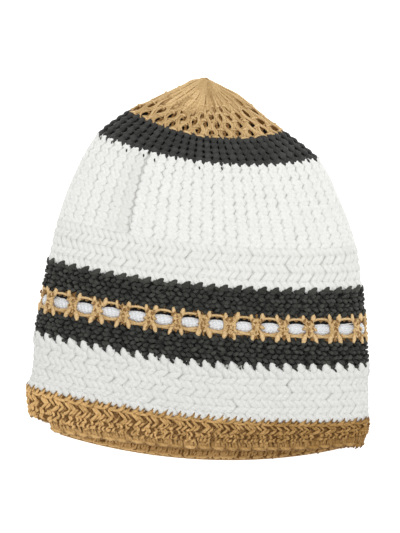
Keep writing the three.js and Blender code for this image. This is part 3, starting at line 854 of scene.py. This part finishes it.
def rimBand():
    look = {
        "fullness": (1.2, 0.85), "innerRows": 4, "slitShade": 0.95, "holeShade": 0.9,
        "saws": ((0, 1, 0.6), (0.38, 0.85, 1.6)),  # stitches across, size, mm by which the tip is shorter
        "slits": ((0, 1), (0.44, 0.55)),  # stitches across, length
        "bar": [(-0.2, 2.2, -1.2, 0.07), (0.15, 2.6, 0.5, 0.1), (0.7, 2.9, 0.5, 0.1),
                (1.1, 2.6, -1.2, 0.07)],
        "upperLeg": [(-0.24, 2.8, -1, 0.06), (-0.14, 4.2, 0, 0.082), (0.08, 5.9, 0.2, 0.09),
                     (0.2, 7.8, -0.8, 0.06)],
        "lowerLeg": [(0.24, 6.4, -0.8, 0.06), (0.15, 7.9, 0, 0.09), (-0.06, 9.4, 0, 0.09),
                     (-0.26, 11, -1.2, 0.06)],
        "loop": [(-0.14, 0, -1, 0.055), (0, 1.1, 0, 0.085), (0.04, 2.1, 0, 0.085),
                 (-0.14, 3.3, -1, 0.055)],
        # strand, points, mm down, side that it bends to, and its copies: stitches across, mm high
        "thinRows": (("upperLeg", 7, 0, 1, ((0, 0.8), (0.2, 0.5), (0.4, 0))),
                     ("lowerLeg", 7, 0, 1, ((0, 0.8), (0.2, 0.6), (0.4, 0.2), (0.64, -1.3))),
                     ("loop", 6, 10.5, 1, ((0, 0.8), (0.33, 0.5), (0.66, 0.3))),
                     ("loop", 6, 13.4, -1, ((0, 0.8), (0.33, 0.5), (0.66, 0.3)))),
        # painted shade on short strands for the holes at each chevron's bend, between the lower strands
        # and along the last row: stitches across, mm down, length, thickness
        "holes": ((0.56, 7.6, 1.2, 0.085), (0.02, 10.9, 0.9, 0.07), (0.6, 14.6, 1, 0.075),
                  (0.15, 16.6, 0.7, 0.06), (0.66, 17, 0.6, 0.06)),
        "hole": [(-0.08, 1, -0.6, 0.5), (0, 0, 0.1, 1), (0.08, -1, -0.6, 0.5)],
        "knotsAt": ((0.3, 12.4), (0.82, 10.2), (0.86, 15.4), (0.38, 16.4)),
        "knot": [(-0.16, 0.7, -1.6, 0.06), (0, 0, 0.8, 0.095), (0.15, -0.8, -1.4, 0.06)],
        "crosses": ((4.8, -1.8), (8, -1.5), (11.2, -1.2), (14.2, -1.4)),  # mm down, mm high
        "cross": [(-0.34, 0.8, -1.2, 0.08), (0, 0, 0, 0.1), (0.34, -0.5, -1.2, 0.08)]}
    piece, start, end = newBand("lowerBandEnd", "rimEnd")
    # saw edge: leaning strands with a dark slit of painted shade beside each, and a bar along their feet
    for across, size, early in look["saws"]:
        saw = [(-0.36, 5, -1.6, 0.1), (-0.16, 2.4, 0.4, 0.14), (0.06, 0.6 + early, 0.9, 0.14),
               (0.26, -2 + early, 0.4, 0.085)]
        addStrands(piece, saw, 8, allStitches + across, start, fullness=look["fullness"],
                   stretch=(1, 1, 1, size))
    for across, long in look["slits"]:
        slit = [(-0.08, 3.4 * long, 0.5, 0.05), (0.02, 1.8, 0.7, 0.085 * long),
                (0.14, -0.4 * long, 0.8, 0.07), (0.26, -2.9 * long, 0.6, 0.035)]
        addStrands(piece, slit, 6, allStitches + across, start, sides=5, shade=look["slitShade"])
    addStrands(piece, look["bar"], 8, allStitches, start, fullness=look["fullness"])
    # thin strands side by side that make chevrons, open between, and two rows of small loops below them
    thin = {"flat": 1, "fullness": look["fullness"]}
    middles = np.array([0, 1, 1, 0])
    for name, points, down, side, copies in look["thinRows"]:
        for across, high in copies:
            addStrands(piece, look[name], points, allStitches + across, start + down, jitter=0.1,
                       stretch=(side, 1, 1, 1), raised=high * middles, **thin)
    for across, down, long, thick in look["holes"]:
        addStrands(piece, look["hole"], 5, allStitches + across, start + down, sides=5, jitter=0.12,
                   shade=look["holeShade"], stretch=(1, long, 1, thick))
    for across, down in look["knotsAt"]:
        addStrands(piece, look["knot"], 6, allStitches + across, start + down, jitter=0.14, **thin)
    for down, low in look["crosses"]:
        addStrands(piece, look["cross"], 6, allStitches + 0.7, start + down, jitter=0.12, raised=low)
    innerRows(piece, start, end, look["innerRows"])
    finishPiece(piece, "rimBand", "rimTan", "rim_band")


def rimEdging():
    look = {
        "leftOut": 2.5, "topStitches": 2.5, "underStitches": 5,
        "hangTop": 2.5, "hangUnder": 1.5, "hangRight": (2.4, 26.2, 1.8),
        "chain": [(-0.1, 0.4, -1.2, 0.09), (0.28, 0.8, 0.7, 0.14), (0.65, 1.1, 0.7, 0.14),
                  (1.05, 1.2, -1.2, 0.09)],
        "uprightsAt": (0.05, 0.3, 0.55, 0.8),
        "speck": [(-0.03, -1, -0.2, 0.05), (0, 0, 0.3, 0.07), (0.04, 1, -0.6, 0.05)],
        "specks": ((0.2, 1.7, 0.8), (0.55, 2, 0.7), (0.88, 1.6, 0.7)),  # stitches across, mm down, length
        "core": [(-0.05, -2.4, -2, 0.14), (0, 0, -1.1, 0.2), (0.05, 2.1, -2, 0.14)]}
    piece = newPiece()
    start, end = downAt["rimEnd"], downAt["edgingEnd"]
    middle = (start + end) / 2
    first = look["leftOut"]
    last = stitchCount - first
    stitches = np.arange(first, last - 0.9)
    # the round hangs a little lower next to each of its two ends, and at the right fold
    hang = (look["hangTop"] * np.exp(-(stitches - first) / look["topStitches"])
            + look["hangUnder"] * np.exp(-(last - stitches) / look["underStitches"])
            + hill(stitches, look["hangRight"]))
    for inside in (False, True):
        # painted light lifts the layer below, shaded by the edge above; painted shade darkens that edge
        shade = -0.5 if inside else 0.3
        addStrands(piece, look["chain"], 8, stitches, middle + hang, inside=inside, shade=shade)
        raised = 0.4 if inside else -0.2
        upright = [(-0.12, -3.6, -1.4, 0.07), (-0.03, -1.6, raised, 0.095), (0.05, 0.6, raised, 0.1),
                   (0.1, 2.2, -1.2, 0.075)]
        for shift in look["uprightsAt"]:
            for down in (middle + hang, middle + 0.4 * hang - 1):
                addStrands(piece, upright, 6, stitches + shift, down, jitter=0.06, inside=inside,
                           shade=shade * 0.7)
    # painted shade on short strands, for the shadowed gap under the front edge
    for across, down, long in look["specks"]:
        addStrands(piece, look["speck"], 5, stitches + across, middle + hang + down, sides=5,
                   jitter=0.12, shade=0.9, stretch=(1, long, 1, 1))
    # a smooth lip along the under layer's edge, lightened with painted light
    lip = first + 0.3 + (last - first - 0.6) * np.linspace(0, 1, 300)
    lip = lip[lip > stitchCount / 2 + 1][None, :]
    lipHang = look["hangUnder"] * np.exp(-(last - lip) / look["underStitches"])
    addTubes(piece, lip * perStitch, end - 0.2 + lipHang, -1.4, 1.35, sides=8, shade=-0.6)
    # a strand inside the layer below, which closes the chinks between the others
    addTubes(piece, lip * perStitch, middle - 0.7 + lipHang, -1.9, 2.4, flat=0.55)
    for shift in (0.25, 0.75):
        for level, down in ((0, middle), (-1.2, middle), (0, middle + hang)):
            addStrands(piece, look["core"], 5, stitches + shift, down, raised=level)
    finishPiece(piece, "rimEdging", "rimTan", "rim_edging")


crownGather()
crownNet()
crownBand()
bodyBand()
darkStripe("upperStripe", "upper_stripe", "bodyEnd", "upperStripeEnd")
eyeletStripe()
lacingYarn()
darkStripe("lowerStripe", "lower_stripe", "eyeletEnd", "lowerStripeEnd")
lowerBand()
rimBand()
rimEdging()

studio = {
    "cameraHeight": 1.35,
    "sensorWidth": 36,
    "pictureWidth": 0.2745,  # metres across the picture at the surface
    "aim": (0.00132, 0.00157),
    "floorColour": (0.93, 0.93, 0.93),
    "floorWidth": 8,
    "floorDrop": 0.0002,
    "floorGlow": 0.65,
    "sky": 0.46,
    # name, place in metres, width in metres, watts
    "lamps": (("overheadLight", (0.05, 0.45, 1.1), 0.8, 8.2),
              ("sideLight", (0.7, 0.2, 0.9), 0.6, 1),
              ("frontLight", (-0.2, -0.8, 0.8), 0.8, 2.6)),
}


def floorMaterial():
    material, tree, shader = newMaterial("floorPaper", {
        "Base Color": (*studio["floorColour"], 1),
        "Roughness": 0.9,
        "Emission Color": (1, 1, 1, 1),
        "Emission Strength": studio["floorGlow"]})
    place = addNode(tree, "ShaderNodeTexCoord").outputs["Object"]
    grain = addNode(tree, "ShaderNodeTexNoise", {}, {"Vector": place, "Scale": 900, "Detail": 3})
    bump = addNode(tree, "ShaderNodeBump", {}, {
        "Height": grain.outputs[0], "Strength": 0.05, "Distance": 0.0002})
    tree.links.new(bump.outputs[0], shader.inputs["Normal"])
    return material


def makeStudio():
    bpy.ops.mesh.primitive_plane_add(size=studio["floorWidth"], location=(0, 0, -studio["floorDrop"]))
    floor = bpy.context.object
    floor.name = "floor"
    bpy.ops.object.transform_apply(location=True, rotation=True, scale=True)
    floor.data.materials.append(floorMaterial())
    scene = bpy.context.scene
    scene.view_settings.view_transform = "Standard"
    world = bpy.data.worlds.new("studioSky")
    scene.world = world
    world.use_nodes = True
    sky = world.node_tree.nodes["Background"]
    sky.inputs["Color"].default_value = (1, 1, 1, 1)
    sky.inputs["Strength"].default_value = studio["sky"]
    for name, place, width, watts in studio["lamps"]:
        bpy.ops.object.light_add(type="AREA", location=place)
        lamp = bpy.context.object
        lamp.name = name
        lamp.data.size = width
        lamp.data.energy = watts
        toCap = -np.array(place)
        pitch = math.atan2(math.hypot(toCap[0], toCap[1]), -toCap[2])
        lamp.rotation_euler = (pitch, 0, math.atan2(toCap[1], toCap[0]) - math.pi / 2)
    bpy.ops.object.camera_add(location=(*studio["aim"], studio["cameraHeight"]), rotation=(0, 0, 0))
    camera = bpy.context.object
    camera.data.sensor_fit = "HORIZONTAL"
    camera.data.sensor_width = studio["sensorWidth"]
    camera.data.lens = studio["sensorWidth"] * studio["cameraHeight"] / studio["pictureWidth"]
    scene.camera = camera
    print("studio made")


makeStudio()
